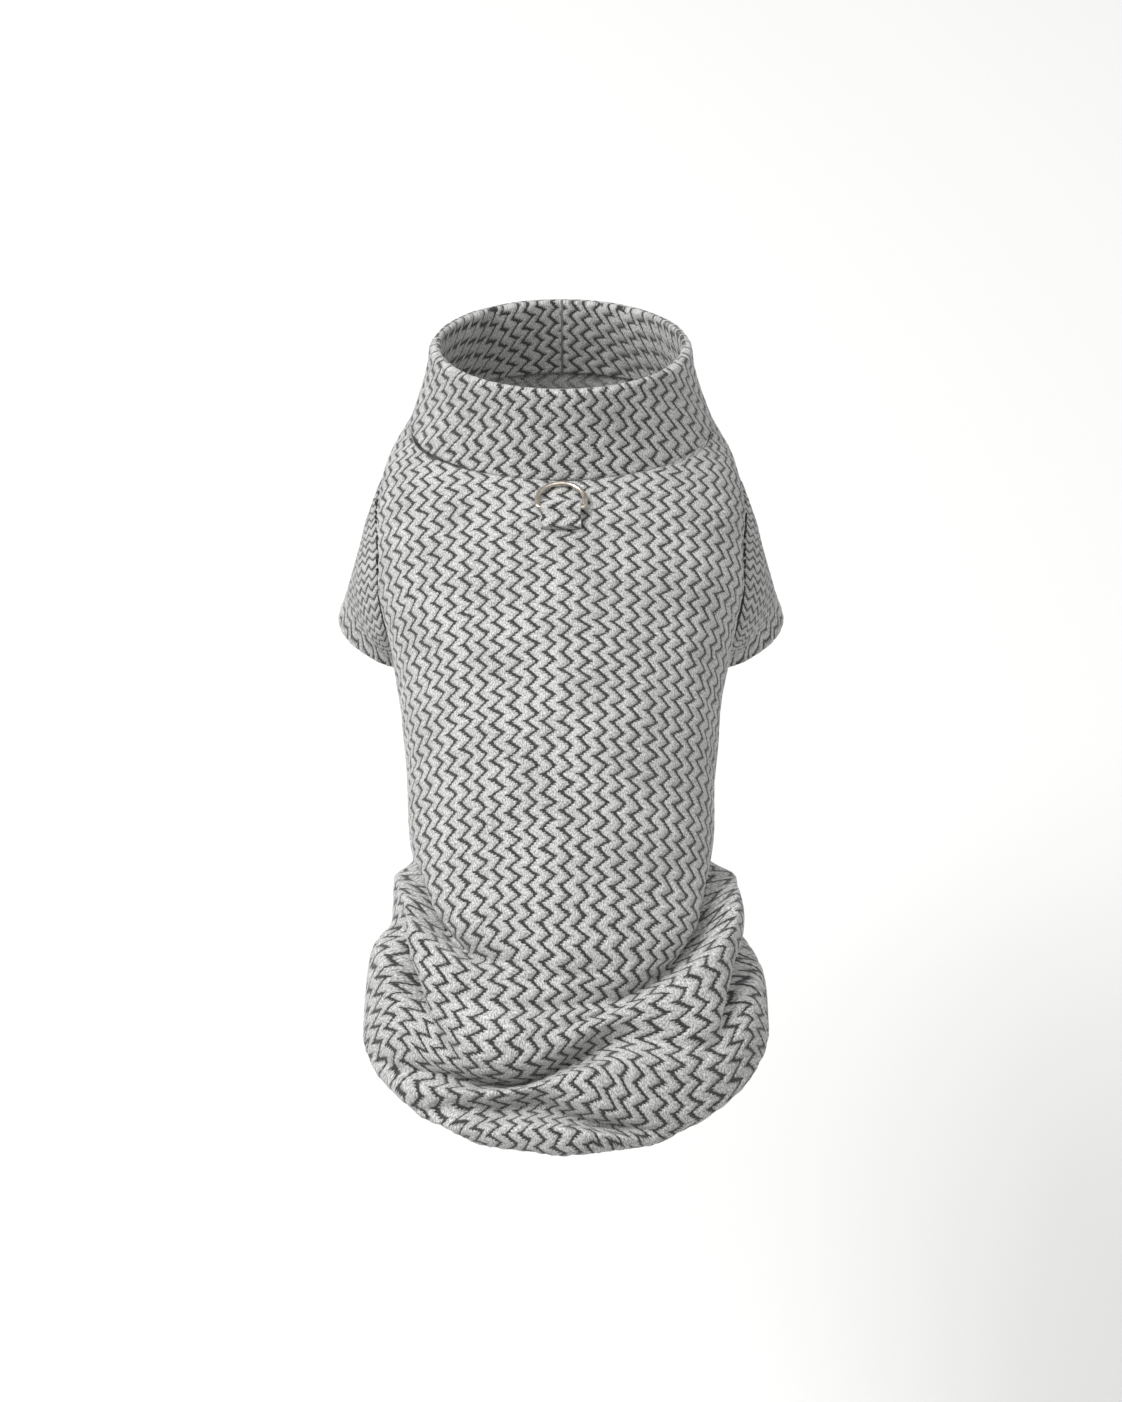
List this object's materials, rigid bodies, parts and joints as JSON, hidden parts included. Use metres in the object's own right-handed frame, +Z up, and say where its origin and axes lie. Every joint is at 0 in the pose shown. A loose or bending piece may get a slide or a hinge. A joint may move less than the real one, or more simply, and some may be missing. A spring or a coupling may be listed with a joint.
{
  "type": "dog shirt",
  "caption": "Pull-on dog shirt in grey zigzag knit, worn and hollow: stand collar, short sleeves, D-ring in a tab, rear bunched in folds.",
  "frame": {"origin": "inner face of the back panel on its centre line, where the wearer's withers carry the shirt", "axes": "+Y towards the head along the back, +X to the wearer's right, +Z up"},
  "size_m": [0.1958, 0.3893, 0.1742],
  "materials": {
    "zigzag_knit": "soft relief knit, heather grey with dark zigzag stitches",
    "nickel_wire": "satin nickel plate on steel wire"
  },
  "bodies": {
    "shirt": {"back_panel": "zigzag_knit", "belly_panel": "zigzag_knit", "sleeve_left": "zigzag_knit", "sleeve_right": "zigzag_knit", "collar": "zigzag_knit", "ring_tab": "zigzag_knit"},
    "ring": {"d_ring": "nickel_wire"}
  },
  "joints": [
    {"name": "ring_swing", "type": "hinge", "parent": "shirt", "child": "ring", "pos_m": [0, 0.02803, 0.00519], "axis": [1, 0, 0], "range_deg": [0, 180]}
  ]
}
